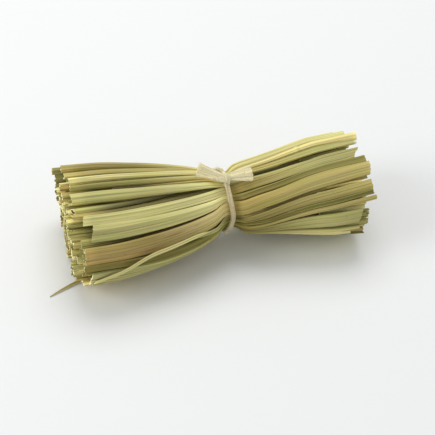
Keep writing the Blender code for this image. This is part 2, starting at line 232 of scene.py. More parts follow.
def cut_across():
    """The pale cut end of a reed wall, with the brown pores of its bundles."""
    cut = Finish("cut_end")
    grain = cut.attribute("grain", "Vector")
    pores = cut.node("ShaderNodeTexVoronoi", {}, {"Vector": grain, "Scale": 1 / (0.34 * MM)})
    cells = cut.node("ShaderNodeTexNoise", {}, {"Vector": grain, "Scale": 1 / (0.5 * MM), "Detail": 2.0})
    share = cut.clamped(pores, 0.10, 0.34)
    coloured = cut.mixed(share, rgba(linear(CUT_PORE)), rgba(linear(CUT_END)))
    coloured = cut.mixed(0.45 * cut.clamped(cells, 0.5, 0.72), coloured, rgba(linear(TONES["wheat"])))
    cut.relief(share, 0.06 * MM)
    return cut.set(colour=coloured, roughness=0.85, specular=0.25)


def hollow_inside():
    """The dull brown lining of a hollow stem."""
    lining = Finish("hollow")
    grain = lining.attribute("grain", "Vector")
    streaks = lining.drawn_out(grain, 6 * MM, 0.3 * MM, 2.0)
    coloured = lining.mixed(streaks, rgba(linear(HOLLOW)), rgba(linear(TONES["brown"])))
    return lining.set(colour=coloured, roughness=0.9, specular=0.2)


def cotton():
    """Soft matt cotton with fibres that run along the yarn."""
    yarn = Finish("cotton")
    own = yarn.attribute("tone", "Color")
    grain = yarn.attribute("grain", "Vector")
    fibres = yarn.drawn_out(grain, 3.5 * MM, 0.12 * MM, 3.0)
    grime = yarn.drawn_out(grain, 5 * MM, 1.5 * MM, 2.0, shift=8.0)
    light = 0.80 + 0.36 * fibres
    coloured = yarn.mixed(1.0, own, yarn.grey(light), "MULTIPLY")
    darker = yarn.mixed(1.0, coloured, rgba((0.80, 0.74, 0.62)), "MULTIPLY")
    coloured = yarn.mixed(yarn.clamped(grime, 0.45, 0.75), coloured, darker)
    yarn.relief(fibres, 0.10 * MM)
    yarn.shader.inputs["Sheen Weight"].default_value = 0.25
    yarn.shader.inputs["Sheen Roughness"].default_value = 0.5
    return yarn.set(colour=coloured, roughness=0.92, specular=0.2)


FINISHES = {
    "skin": reed_skin("reed_skin", 0.20, SUNNY_SIDE),
    "under": reed_skin("reed_underside", 0.02, UNDERSIDE),
    "cut": cut_across(),
    "hollow": hollow_inside(),
    "cotton": cotton(),
}
ORDER = ("skin", "under", "cut", "hollow", "cotton")

# ---------------------------------------------------------------- modelling by hand


def alone(piece):
    """Makes piece the only selected object and the active one."""
    bpy.ops.object.select_all(action="DESELECT")
    piece.select_set(True)
    bpy.context.view_layer.objects.active = piece


def edited(piece):
    """Makes piece the only one selected, and opens it in edit mode."""
    alone(piece)
    bpy.ops.object.mode_set(mode="EDIT")


def choose(kind, rule):
    """In edit mode, selects the vertices, edges or faces that satisfy rule, and nothing else."""
    bpy.ops.mesh.select_mode(type=kind[:-1].upper())
    bpy.ops.mesh.select_all(action="DESELECT")
    mesh = bpy.context.object.data
    shape = bmesh.from_edit_mesh(mesh)
    for element in {"verts": shape.verts, "edges": shape.edges, "faces": shape.faces}[kind]:
        element.select_set(bool(rule(element)))
    shape.select_flush_mode()
    bmesh.update_edit_mesh(mesh)


def runs_along(edge):
    """Whether an edge runs along a straight piece that isn't cut into rings yet."""
    return abs(edge.verts[0].co.x - edge.verts[1].co.x) > LENGTH / 2


def cut_into_rings(rings):
    """In edit mode, cuts every edge that runs the whole length into rings of faces."""
    choose("edges", runs_along)
    bpy.ops.mesh.subdivide(number_cuts=rings - 1)


def applied(piece, kind, **settings):
    """Adds a modifier to piece and applies it."""
    alone(piece)
    modifier = piece.modifiers.new(kind.lower(), kind)
    for name, value in settings.items():
        setattr(modifier, name, value)
    bpy.ops.object.modifier_apply(modifier=modifier.name)


def finished(piece, name, finish_of, angle=38):
    """Names the piece, smooths it, and gives each face the finish that finish_of picks for it."""
    bpy.ops.object.mode_set(mode="OBJECT")
    piece.name = name
    piece.data.materials.clear()
    for finish in ORDER:
        piece.data.materials.append(FINISHES[finish])
    for face in piece.data.polygons:
        face.material_index = ORDER.index(finish_of(face))
    alone(piece)
    bpy.ops.object.shade_smooth_by_angle(angle=math.radians(angle))
    bpy.context.scene.collection.objects.unlink(piece)
    return piece


def round_pipe(name, sides, rings, width, height, wall, bore, ridges=()):
    """A straight hollow stem, round or flattened: a cylinder whose ends are inset and pushed in.

    wall is how thick the stem's wall is, and bore how deep the hollow is at each end.
    """
    bpy.ops.object.select_all(action="DESELECT")
    bpy.ops.mesh.primitive_cylinder_add(
        vertices=sides, radius=width / 2, depth=LENGTH, rotation=(0, math.pi / 2, 0)
    )
    pipe = bpy.context.object
    bpy.ops.object.transform_apply(location=True, rotation=True, scale=True)
    edited(pipe)
    choose("faces", lambda face: abs(face.normal.x) > 0.9)
    bpy.ops.mesh.inset(thickness=wall)
    for end in (-1, 1):
        choose("faces", lambda face: face.normal.x * end > 0.9 and len(face.verts) == sides)
        bpy.ops.mesh.extrude_region_move(TRANSFORM_OT_translate={"value": (-end * bore, 0, 0)})
    bpy.ops.mesh.select_all(action="SELECT")
    bpy.ops.transform.resize(value=(1, 1, height / width))
    raise_ridges(ridges, width)
    cut_into_rings(rings)
    inside = width / 2 - wall / 2

    def finish_of(face):
        if abs(face.center.x) > LENGTH / 2 - 0.01 * MM:
            return "cut"
        from_axis = math.hypot(face.center.y, face.center.z * width / height)
        return "hollow" if from_axis < inside else "skin"

    return finished(pipe, name, finish_of)


def raise_ridges(ridges, width):
    """In edit mode, lifts each ridge's line of vertices, and those within its reach less and less.

    Each ridge has its place across and its reach in widths, its height, and how it falls away.
    """
    for place, height, reach, falloff in ridges:
        choose("verts", lambda v: abs(v.co.y - place * width) < width / 60 and v.co.z >= -0.01 * MM)
        bpy.ops.transform.translate(
            value=(0, 0, height),
            use_proportional_edit=True,
            proportional_edit_falloff=falloff,
            proportional_size=reach * width,
        )


def blade(name, strips, rings, width, wall, ridges):
    """A straight piece of leaf: a plane cut into strips, with its ridges lifted, and given a wall."""
    bpy.ops.object.select_all(action="DESELECT")
    bpy.ops.mesh.primitive_plane_add(size=1)
    leaf = bpy.context.object
    edited(leaf)
    bpy.ops.transform.resize(value=(LENGTH, width, 1))
    choose("edges", lambda edge: abs(edge.verts[0].co.y - edge.verts[1].co.y) > width / 2)
    bpy.ops.mesh.subdivide(number_cuts=strips - 1)
    raise_ridges(ridges, width)
    bpy.ops.object.mode_set(mode="OBJECT")
    applied(leaf, "SOLIDIFY", thickness=wall, offset=-1, use_even_offset=True)
    edited(leaf)
    cut_into_rings(rings)

    def finish_of(face):
        if abs(face.normal.x) > 0.7:
            return "cut"
        return "skin" if face.normal.z > 0 else "under"

    return finished(leaf, name, finish_of, angle=50)


def ribs(strips, every, height):
    """Fine ribs: every so many strips one line of vertices stands a little proud."""
    lines = range(-strips // 2 + 1, strips // 2, every)
    return [(line / strips, height, 1.4 / strips, "LINEAR") for line in lines]


def round_yarn(name, sides, rings, width):
    """A straight solid yarn: a cylinder cut into rings."""
    bpy.ops.object.select_all(action="DESELECT")
    bpy.ops.mesh.primitive_cylinder_add(
        vertices=sides, radius=width / 2, depth=LENGTH, rotation=(0, math.pi / 2, 0)
    )
    yarn = bpy.context.object
    bpy.ops.object.transform_apply(location=True, rotation=True, scale=True)
    edited(yarn)
    cut_into_rings(rings)
    return finished(yarn, name, lambda face: "cotton", angle=60)


def straight_pieces():
    """One straight piece of each kind, to copy from."""
    arch = [(0.0, 1.5 * MM, 0.60, "SPHERE")]
    flat_arch = [(0.0, 1.0 * MM, 0.70, "SPHERE")]
    keel = [(0.0, 0.9 * MM, 0.75, "SMOOTH"), (0.0, 0.35 * MM, 0.22, "SHARP")]
    off_keel = [(0.0, 1.0 * MM, 0.66, "SPHERE"), (1 / 8, 0.42 * MM, 0.30, "LINEAR")]
    return {
        "stem": round_pipe("stem", 16, 60, 2.5 * MM, 2.5 * MM, 0.36 * MM, 7 * MM),
        "sheath": round_pipe(
            "sheath", 24, 60, 4.4 * MM, 2.9 * MM, 0.34 * MM, 8 * MM, [(0.0, 0.12 * MM, 0.12, "SHARP")]
        ),
        "folded": blade("folded", 24, 60, 6 * MM, 0.34 * MM, off_keel + ribs(24, 3, 0.05 * MM)),
        "ribbed": blade("ribbed", 24, 60, 6 * MM, 0.32 * MM, flat_arch + ribs(24, 3, 0.07 * MM)),
        "rolled": blade("rolled", 20, 60, 4.5 * MM, 0.36 * MM, arch + ribs(20, 4, 0.05 * MM)),
        "slim": blade("slim", 10, 60, 1.8 * MM, 0.5 * MM, keel),
        "thin stem": round_pipe("thin_stem", 8, 9, 1.8 * MM, 1.8 * MM, 0.34 * MM, 4 * MM),
        "ply": round_yarn("ply", 12, 150, 1.1 * MM),
        "fibre": round_yarn("fibre", 5, 10, 0.3 * MM),
        "thin leaf": blade("thin_leaf", 4, 9, 2.2 * MM, 0.3 * MM, [(0.0, 0.8 * MM, 0.55, "SPHERE")]),
    }


# ---------------------------------------------------------------- courses and laying

# Where the straight piece's middle line, width direction and outward direction go, from end to end, and how
# wide and thick it is on the way
Course = namedtuple("Course", "middles sides outs widths thicknesses")


def through(stations, values, places):
    """Values at places, on a smooth curve through the stations that doesn't overshoot them."""
    steps = np.diff(stations)[:, None]
    slopes = np.diff(values, axis=0) / steps
    tangents = np.zeros_like(values)
    same_way = slopes[:-1] * slopes[1:] > 0
    total = np.where(same_way, slopes[:-1] + slopes[1:], 1.0)
    tangents[1:-1] = np.where(same_way, 2 * slopes[:-1] * slopes[1:] / total, 0.0)
    tangents[0] = slopes[0]
    tangents[-1] = slopes[-1]
    i = np.clip(np.searchsorted(stations, places) - 1, 0, len(stations) - 2)
    step = steps[i]
    t = ((places - stations[i])[:, None]) / step
    start = (1 + 2 * t) * (1 - t) ** 2 * values[i] + t * (1 - t) ** 2 * step * tangents[i]
    end = t * t * (3 - 2 * t) * values[i + 1] + t * t * (t - 1) * step * tangents[i + 1]
    return start + end


def rings_of(node):
    """The rings of a reed's solid: for each, its x and its points of the YZ plane."""
    points = np.array([v.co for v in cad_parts[node].data.vertices], float)
    points = np.unique(np.round(points, 6), axis=0)
    points = points[np.argsort(points[:, 0], kind="stable")]
    breaks = np.nonzero(np.diff(points[:, 0]) > 0.3 * MM)[0] + 1
    return [(group[:, 0].mean(), group[:, 1:]) for group in np.split(points, breaks)]


def section_of(points):
    """Middle, width, thickness and direction of the width of a ring's points."""
    spread = points - points.mean(0)
    _, directions = np.linalg.eigh(spread.T @ spread)
    wide = directions[:, 1]
    thin = np.array([-wide[1], wide[0]])
    along, across = spread @ wide, spread @ thin
    off_centre = wide * (along.max() + along.min()) / 2 + thin * (across.max() + across.min()) / 2
    return points.mean(0) + off_centre, np.ptp(along), np.ptp(across), math.atan2(wide[1], wide[0])


def waist_of_bunch():
    """Where the string holds the bunch: x, y and z of the middle."""
    rings = sorted((np.ptp(points[:, 0]), x, points) for x, points in rings_of("inner_reeds"))[:2]
    middle = (rings[0][2].max(0) + rings[0][2].min(0)) / 2
    return Vector(((rings[0][1] + rings[1][1]) / 2, middle[0], middle[1]))


WAIST = waist_of_bunch()


def sections_of(node, round_section):
    """Stations of a reed's solid, and at each the middle, width, thickness and slope of the width."""
    stations, rows = [], []
    for x, points in rings_of(node):
        middle, width, thickness, slope = section_of(points)
        if round_section:
            width = thickness = (width + thickness) / 2
            slope = 0.0
        stations.append(x)
        rows.append((middle[0], middle[1], width, thickness, slope))
    rows = np.array(rows)
    rows[:, 4] = np.unwrap(rows[:, 4], period=math.pi)
    nearest = int(np.argmin(abs(np.array(stations) - WAIST.x)))
    y, z, _, _, slope = rows[nearest]
    if -math.sin(slope) * (y - WAIST.y) + math.cos(slope) * (z - WAIST.z) < 0:
        rows[:, 4] += math.pi
    return np.array(stations), rows


def wander(rng, places, size):
    """A gentle wave along the bunch that dies away at the string."""
    waves = sum(
        rng.uniform(0.5, 1.0) * np.sin(places / (reach * MM) + rng.uniform(0, 6.3)) for reach in (5.0, 9.0)
    )
    return size * waves * np.clip((abs(places - WAIST.x) - 4 * MM) / (20 * MM), 0, 1)


MOST_DRAWN_IN = 0.09  # as a share of a reed's distance from the middle


def drawn_in(x, y, z):
    """Draws the right half in a little beside the string, so that its reeds leave the string straighter.

    Gives back the new y and z, and the share of its width and thickness that a reed keeps there.
    """
    share = np.clip((x - WAIST.x - 1 * MM) / (32 * MM), 0, 1)
    less = MOST_DRAWN_IN * np.sin(math.pi * share**0.85)
    for_height = less * np.where(z < WAIST.z, 0.5, 1.0)
    return WAIST.y + (y - WAIST.y) * (1 - less), WAIST.z + (z - WAIST.z) * (1 - for_height), 1 - less


def reed_course(node, round_section, rng, samples=110):
    """The course of a reed's solid, whose sections stay in planes of constant X."""
    stations, rows = sections_of(node, round_section)
    x = np.linspace(stations[0], stations[-1], samples)
    y, z, width, thickness, slope = through(stations, rows, x).T
    y, z, kept = drawn_in(x, y, z)
    y = y + wander(rng, x, 0.06 * MM)
    slope = slope + wander(rng, x, 0.05)
    width = width * (kept + wander(rng, x, 0.02))
    zero = np.zeros(samples)
    return Course(
        np.stack([x, y, z], 1),
        np.stack([zero, np.cos(slope), np.sin(slope)], 1),
        np.stack([zero, -np.sin(slope), np.cos(slope)], 1),
        width,
        thickness * kept,
    )


def corners(mesh):
    """The places of a mesh's vertices, one row each."""
    flat = np.empty(len(mesh.vertices) * 3)
    mesh.vertices.foreach_get("co", flat)
    return flat.reshape(-1, 3)


def copied(piece, name):
    """A copy with its own mesh."""
    copy = piece.copy()
    copy.data = piece.data.copy()
    copy.name = name
    bpy.context.scene.collection.objects.link(copy)
    return copy


def between(rows, at):
    """Rows read at fractional places."""
    i = np.clip(at.astype(int), 0, len(rows) - 2)
    share = at - i
    if rows.ndim == 2:
        share = share[:, None]
    return rows[i] * (1 - share) + rows[i + 1] * share


def lay(piece, course, rng, swell=()):
    """Lays a straight piece along its course, and keeps its straight places as the grain of its finish.

    swell has the place, growth and reach of each ring that a stem has. Gives back how far each corner is
    along the piece, from 0 to 1, and across it, from -0.5 to 0.5.
    """
    mesh = piece.data
    local = corners(mesh)
    low, high = local.min(0), local.max(0)
    share, across, up = ((local - (low + high) / 2) / (high - low)).T
    share = share + 0.5
    at = share * (len(course.widths) - 1)
    middles = between(course.middles, at)
    widths = between(course.widths, at)
    thicknesses = between(course.thicknesses, at)
    for place, growth, reach in swell:
        ring = 1 + growth * np.exp(-(((middles[:, 0] - place) / reach) ** 2))
        widths = widths * ring
        thicknesses = thicknesses * ring
    placed = (
        middles
        + between(course.sides, at) * (across * widths)[:, None]
        + between(course.outs, at) * (up * thicknesses)[:, None]
    )
    mesh.vertices.foreach_set("co", placed.ravel())
    shift = rng.uniform(-1, 1, 3) * (0.4, 0.05, 0.05)  # so that no two pieces have the same grain
    store(mesh, "grain", "FLOAT_VECTOR", "vector", local + shift)
    mesh.update()
    return share, across


SLANT_REACH = 7 * MM  # how far from the cut a slant moves the rings of a reed
NOTCH_REACH = 2.2 * MM
NOTCHES = 14


def trim(piece, share, across, cuts, rng):
    """Cuts each end of a laid reed at a slant, and leaves it a little ragged. Lengths are millimetres."""
    placed = corners(piece.data)
    for from_end, inward, (slant, ragged) in zip((share, 1 - share), (1, -1), cuts):
        lean = slant * across + abs(slant) / 2
        places = np.linspace(-0.5, 0.5, NOTCHES)
        notches = np.interp(across, places, rng.uniform(0, 1, NOTCHES)) * ragged
        near = np.clip(1 - from_end * LENGTH / SLANT_REACH, 0, 1)
        very_near = np.clip(1 - from_end * LENGTH / NOTCH_REACH, 0, 1)
        placed[:, 0] += inward * MM * (lean * near + notches * very_near)
    piece.data.vertices.foreach_set("co", placed.ravel())
    piece.data.update()


def store(mesh, name, kind, field, rows):
    """Keeps one row for each vertex, for the finishes to read."""
    layer = mesh.attributes.new(name, kind, "POINT")
    layer.data.foreach_set(field, rows.astype(np.float32).ravel())


def store_tones(mesh, shades):
    """Keeps a colour for each vertex."""
    store(mesh, "tone", "FLOAT_COLOR", "color", np.column_stack([shades, np.ones(len(shades))]))


def paint(piece, across, colours, rng, depth=0.0):
    """Tones along a reed: from the left to the right end, a little worn at both, paler at the margins.

    depth is how much darker the reed is painted away from its ends: a painted shade, for one that lies under
    others gets less light.
    """
    x = corners(piece.data)[:, 0]
    left, near_left, near_right, right = colours
    reach = (x - WAIST.x) / (HALF_BUNCH * MM)
    side = np.clip((abs(reach) - 0.08) / 0.5, 0, 1)[:, None]
    on_left = (reach < 0)[:, None]
    shades = np.where(on_left, near_left, near_right) * (1 - side) + np.where(on_left, left, right) * side
    tips = np.clip(abs(reach) * HALF_BUNCH - 46, 0, 3)[:, None] / 3
    shades = shades * (1 + 0.25 * tips * np.array([1.0, 0.96, 0.80]))
    # paler margins: partly the leaves' own pale edges and partly a painted highlight where the edges catch
    # light
    margins = (abs(across) * 2) ** 6
    shades = shades * (1 + 0.12 * margins[:, None])
    lit_beside_string = np.exp(-(((reach + 0.12) / 0.12) ** 2))
    shades = shades * (1 + 0.14 * lit_beside_string)[:, None]
    shades = shades * (1 + 0.06 * np.sin(x / (7 * MM) + rng.uniform(0, 6.3)))[:, None]
    # painted shade: away from its ends a reed is painted darker by depth, for the shade under the reeds over
    # it
    from_end = np.minimum(x - x.min(), x.max() - x)
    painted_shade_share = np.clip(from_end / (7 * MM) - 0.9, 0, 1)[:, None]
    store_tones(piece.data, shades * (1 - depth * painted_shade_share))


def mark(piece, across, marks):
    """Brown marks: each has its place along the bunch, its place across, its length and its breadth."""
    x = corners(piece.data)[:, 0] - WAIST.x
    layer = piece.data.attributes["tone"].data
    rows = np.empty(len(x) * 4, np.float32)
    layer.foreach_get("color", rows)
    rows = rows.reshape(-1, 4)
    for place, side, length, breadth in marks:
        near = np.exp(-(((x / MM - place) / length) ** 2) - ((across - side) / breadth) ** 2)
        rows[:, :3] *= 1 - near[:, None] * (0.45, 0.62, 0.70)
    layer.foreach_set("color", rows.ravel())


def joined(name, parts):
    """All the parts as one object, with its place in its mesh."""
    bpy.ops.object.select_all(action="DESELECT")
    for part in parts:
        part.select_set(True)
    bpy.context.view_layer.objects.active = parts[0]
    bpy.ops.object.join()
    parts[0].name = name
    return parts[0]


# ---------------------------------------------------------------- the reeds that are nodes

# How each outer reed looks: its kind; its tones at the left end, at the left and at the right of the string,
# and at the right end; the slant and raggedness of its two cuts; its joints; and its brown marks. Cuts and
# places along the bunch are in millimetres, and places are counted from the string.
Look = namedtuple("Look", "kind tones cuts joints marks", defaults=(((0, 0.3), (0, 0.3)), (), ()))

OUTER = {
    "top_stem": Look("stem", ("wheat", "straw", "straw", "straw")),
    "slim_tan_leaf": Look("rolled", ("wheat", "wheat", "wheat", "wheat")),
    "pale_stem": Look("stem", ("straw", "pale straw", "straw", "pale straw")),
    "jointed_stem": Look("stem", ("moss", "straw", "cream", "cream"), joints=(26.9,)),
    "yellow_leaf": Look(
        "rolled", ("deep shade", "yellow straw", "yellow straw", "pale sage"), ((1.0, 0.6), (1.2, 1.6))
    ),
    "broad_stem": Look("sheath", ("sage", "pale straw", "sage", "straw")),
    "pale_leaf_upper": Look(
        "folded", ("pale sage", "pale straw", "ochre", "sage"), ((0.8, 0.3), (-3.0, 0.6))
    ),
    "pale_leaf_broad": Look("folded", ("sage", "pale straw", "olive", "moss"), ((1.6, 0.5), (0.8, 0.4))),
    "tan_leaf_broad": Look(
        "ribbed",
        ("tan", "pale tan", "ochre", "wheat"),
        ((0.8, 0.4), (-1.0, 0.4)),
        marks=((-20.5, 0.16, 3.4, 0.045), (-12.3, 0.22, 0.5, 0.05), (-30.0, -0.30, 4.0, 0.04)),
    ),
    "crossing_strip": Look("slim", ("pale sage", "sage", "wheat", "wheat"), ((1.0, 0.5), (0.6, 0.4))),
    "dark_leaf": Look("ribbed", ("olive", "moss", "olive", "wheat")),
    "dark_leaf_slim": Look("slim", ("olive", "moss", "olive", "moss")),
    "slim_stem": Look("stem", ("moss", "moss", "olive", "wheat")),
    "green_leaf_broad": Look("ribbed", ("sage", "sage", "olive", "sage"), ((1.0, 0.5), (-1.8, 0.6))),
    "low_stem": Look("stem", ("wheat", "moss", "olive", "sage")),
    "broken_sliver": Look("slim", ("wheat",) * 4, ((0, 0), (0, 0))),
}
LEAF_KINDS = ("folded", "ribbed", "rolled")
HIDDEN_TONES = ("straw", "sage", "moss", "wheat", "tan", "pale straw", "yellow straw", "grey green")
HIDDEN_JOINTS = (-31.0, -22.0, 20.0, 29.0)  # where a stem that isn't described may have its joint
COAT_PAINTED_SHADE = 0.5  # painted shade: how much darker the coat under the outer reeds is painted, away from its ends
HEART_PAINTED_SHADE = 0.6  # and the painted shade of the small reeds under both
JOINT_RINGS = (-1.3, -0.8, -0.45, -0.15, 0.15, 0.45, 0.8, 1.3)  # millimetres from the joint


def plain_look(node, rng):
    """The look of a reed that isn't described on its own."""
    kind = "stem" if "stem" in node else LEAF_KINDS[int(rng.integers(3))]
    left, right = (str(name) for name in rng.choice(HIDDEN_TONES, 2))
    cuts = tuple((rng.uniform(-1.2, 1.2), rng.uniform(0.2, 0.9)) for _ in range(2))
    joints = ()
    if kind == "stem" and rng.random() < 0.4:
        joints = (float(rng.choice(HIDDEN_JOINTS)),)
    return Look(kind, (left, left, right, right), cuts, joints)


def with_joint_rings(piece, places, course):
    """Cuts rings close together round each joint of a stem, so that it can swell there."""
    start, end = course.middles[0, 0], course.middles[-1, 0]
    edited(piece)
    for place in places:
        middle = (place - start) / (end - start) * LENGTH - LENGTH / 2
        for step in JOINT_RINGS:
            bpy.ops.mesh.select_all(action="SELECT")
            bpy.ops.mesh.bisect(plane_co=(middle + step * MM, 0, 0), plane_no=(1, 0, 0))
    bpy.ops.object.mode_set(mode="OBJECT")


def reed(node, look, pieces, rng):
    """A finished reed in the place of its solid."""
    course = reed_course(node, look.kind == "stem", rng)
    piece = copied(pieces[look.kind], f"reed_{node}")
    swell = []
    if look.joints:
        places = [WAIST.x + place * MM for place in look.joints]
        with_joint_rings(piece, places, course)
        swell = [(place, 0.20, 0.55 * MM) for place in places]
        swell += [(place + 1.1 * MM, -0.07, 0.5 * MM) for place in places]
    colours = [tone(name) * rng.uniform(0.96, 1.04) for name in look.tones]
    share, across = lay(piece, course, rng, swell)
    trim(piece, share, across, look.cuts, rng)
    # the middle coat gets painted shade away from its ends
    paint(piece, across, colours, rng, COAT_PAINTED_SHADE if node.startswith("middle") else 0.0)
    mark(piece, across, look.marks)
    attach(piece, "root")
    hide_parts(node)


def every_reed(pieces):
    """All the reeds that are nodes, each with random numbers of its own."""
    for node in sorted(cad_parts):
        if node not in ("inner_reeds", "cotton_tie"):
            rng = np.random.default_rng([SEED, sum(map(ord, node))])
            reed(node, OUTER.get(node) or plain_look(node, rng), pieces, rng)


# ---------------------------------------------------------------- the small reeds inside


def oval_of_heart():
    """Stations of the heart's solid and, at each, the middle and the half sizes of its oval."""
    stations, rows = [], []
    for x, points in rings_of("inner_reeds"):
        low, high = points.min(0), points.max(0)
        stations.append(x)
        rows.append([*(low + high) / 2, *(high - low) / 2])
    return np.array(stations), np.array(rows)


HEART = oval_of_heart()


def small_course(place, size, turn, start, end, rng, samples=26):
    """The course of a small reed that keeps its place in the oval as the oval narrows to the string."""
    stations, rows = HEART
    x = np.linspace(start, end, samples)
    y, z, half_width, half_height = through(stations, rows, np.clip(x, stations[0], stations[-1])).T
    widest = rows[0] if start < WAIST.x - 20 * MM else rows[-1]
    shrink = np.sqrt(half_width * half_height / (widest[2] * widest[3]))
    y, z, kept = drawn_in(x, y + place[0] * half_width, z + place[1] * half_height)
    middles = np.stack([x, y, z], 1)
    slope = turn + 0.4 * np.sin(x / (30 * MM) + rng.uniform(0, 6.3))
    zero = np.zeros(samples)
    return Course(
        middles,
        np.stack([zero, np.cos(slope), np.sin(slope)], 1),
        np.stack([zero, -np.sin(slope), np.cos(slope)], 1),
        size[0] * shrink * kept,
        size[1] * shrink * kept,
    )


def honeycomb(pitch, half_width, half_height, rng):
    """Places of a loose honeycomb that fills an oval, in metres from its middle."""
    places = []
    rows = int(half_height / pitch) + 2
    columns = int(half_width / pitch) + 2
    for row in range(-rows, rows + 1):
        for column in range(-columns, columns + 1):
            y = (column + 0.5 * (row % 2)) * pitch + rng.uniform(-0.22, 0.22) * pitch
            z = row * pitch * 0.87 + rng.uniform(-0.22, 0.22) * pitch
            if (y / half_width) ** 2 + (z / half_height) ** 2 < 1:
                places.append((y, z))
    return places


def small_reed(place, size, start, end, pieces, rng):
    """One small reed, round or a curled strip, in one of the straw tones."""
    kind = "thin stem" if rng.random() < 0.45 else "thin leaf"
    sizes = (size, size) if kind == "thin stem" else (1.12 * size, 0.72 * size)
    piece = copied(pieces[kind], "small_reed")
    share, across = lay(piece, small_course(place, sizes, rng.uniform(0, 6.3), start, end, rng), rng)
    trim(piece, share, across, ((0, 0.5), (0, 0.5)), rng)
    colour = tone(str(rng.choice(HIDDEN_TONES))) * rng.uniform(0.9, 1.05)
    # the small reeds get painted shade away from their ends
    paint(piece, across, [colour] * 4, rng, HEART_PAINTED_SHADE)
    return piece


SMALL_PITCH = 1.95 * MM  # between the small reeds of the middle, at the left end
SMALL_SIZE = 0.93 * SMALL_PITCH


def middle_reeds(pieces):
    """The small reeds of the middle, each from end to end, in place of the one solid."""
    rng = np.random.default_rng([SEED, 1])
    stations, rows = HEART
    half_width, half_height = rows[0][2:]
    made = []
    for y, z in honeycomb(SMALL_PITCH, 0.96 * half_width, 0.96 * half_height, rng):
        place = (y / half_width, z / half_height)
        start = stations[0] - rng.uniform(-0.4, 2.6) * MM
        end = stations[-1] - rng.uniform(-0.6, 3.0) * MM
        made.append(small_reed(place, SMALL_SIZE, start, end, pieces, rng))
    piece = joined("small_reeds_of_the_middle", made)
    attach(piece, "root")
    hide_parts("inner_reeds")


def cut_sections(x):
    """Both ends of the middle line, and half the thickness, of each reed's section at x."""
    found = []
    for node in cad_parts:
        if node in ("inner_reeds", "cotton_tie", "broken_sliver"):
            continue
        stations, rows = sections_of(node, False)
        if not stations[0] <= x <= stations[-1]:
            continue
        y, z, width, thickness, slope = (np.interp(x, stations, column) for column in rows.T)
        reach = max(width - thickness, 0) / 2 * np.array([math.cos(slope), math.sin(slope)])
        found.append((np.array([y, z]) - reach, np.array([y, z]) + reach, thickness / 2))
    return found


def clearance(point, found):
    """How far a point is from the nearest of the sections found."""
    nearest = 1.0
    for first, last, half in found:
        run = last - first
        share = np.clip((point - first) @ run / max(run @ run, 1e-12), 0, 1)
        nearest = min(nearest, float(np.linalg.norm(point - first - share * run)) - half)
    return nearest


FILLER_PITCH = 1.15 * MM
FILLER_SIZES = (0.85 * MM, 2.3 * MM)  # the thinnest and the thickest


def gap_fillers(name, x, inward, pieces, rng):
    """Short reeds pushed in from one end, wherever the reeds with courses of their own leave room."""
    stations, rows = HEART
    y0, z0, half_width, half_height = (np.interp(x, stations, column) for column in rows.T)
    found = cut_sections(x)
    reach = np.array([points for first, last, _ in found for points in (first, last)])
    outer = np.ptp(reach, axis=0) / 2 - 0.8 * MM
    made = []
    for y, z in honeycomb(FILLER_PITCH, outer[0], outer[1], rng):
        point = np.array([y0 + y, (reach.max(0)[1] + reach.min(0)[1]) / 2 + z])
        place = (point - (y0, z0)) / (half_width, half_height)
        size = min(2.1 * clearance(point, found), FILLER_SIZES[1])
        in_heart = place @ place < 1.08
        if size < FILLER_SIZES[0] or in_heart or point[1] < size / 2:
            continue
        found.append((point, point, size / 2))
        start = x - inward * rng.uniform(0.0, 2.4) * MM
        ends = sorted((start, start + inward * rng.uniform(16, 27) * MM))
        made.append(small_reed(place, size, *ends, pieces, rng))
    piece = joined(name, made)
    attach(piece, "root")


def all_fillers(pieces):
    """The short reeds of both ends."""
    stations, _ = HEART
    rng = np.random.default_rng([SEED, 2])
    gap_fillers("short_reeds_left", stations[0] - 0.6 * MM, 1, pieces, rng)
    gap_fillers("short_reeds_right", stations[-1] - 0.5 * MM, -1, pieces, rng)


# ---------------------------------------------------------------- the string

STRING = 0.9 * MM  # radius
SUNK = 0.3 * MM  # how far the string is pressed in between the reeds
LOOP = WAIST.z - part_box("cotton_tie")[0].z - STRING - SUNK  # radius of the loop's middle line
LEAN = 0.06  # of the loop, for each metre of height
PLIES = 3
PLY_TURN = 40 * MM  # of string, for one turn of its plies
KNOT_ANGLE = 82.0
YARNS = 96  # of a frayed tail, beside its few stray wisps
HAIRS = 70


def round_the_waist(degrees):
    """Outward directions at angles round the waist: 0 is the front, 90 the top."""
    a = np.radians(degrees)
    return np.stack([np.zeros_like(a), -np.cos(a), np.sin(a)], -1)


def string_line(degrees):
    """The string's middle line at angles round the waist. The loop leans, and bows to the right in front."""
    line = np.array(WAIST) + LOOP * round_the_waist(degrees)
    from_front = (degrees - 10 + 180) % 360 - 180
    bow = 1.15 * np.exp(-((from_front / 32) ** 2)) - 0.78
    line[..., 0] += LEAN * (line[..., 2] - WAIST.z) + bow * MM
    return line


def unit(rows):
    """Each row at length 1."""
    return rows / np.linalg.norm(rows, axis=-1, keepdims=True)


def line_course(points, outs, widths, thicknesses):
    """The course along a line of points, flat side towards outs."""
    tangents = unit(np.gradient(points, axis=0))
    sides = unit(np.cross(outs, tangents))
    return Course(points, sides, np.cross(tangents, sides), widths, thicknesses)


def smooth_line(points, samples):
    """Many points on a smooth curve through a few."""
    points = np.array(points, float)
    steps = np.concatenate([[0], np.cumsum(np.linalg.norm(np.diff(points, axis=0), axis=1))])
    return through(steps, points, np.linspace(0, steps[-1], samples))


def strand(name, pieces, kind, course, colour, rng, painted_shade_halfway=0.0):
    """A ply or a fibre of cotton, laid along its course. The last argument is how much darker it is painted
    halfway along, a painted shade.
    """
    piece = copied(pieces[kind], name)
    share, _ = lay(piece, course, rng)
    store_tones(piece.data, colour * (1 - painted_shade_halfway * np.sin(share * math.pi))[:, None])
    return piece


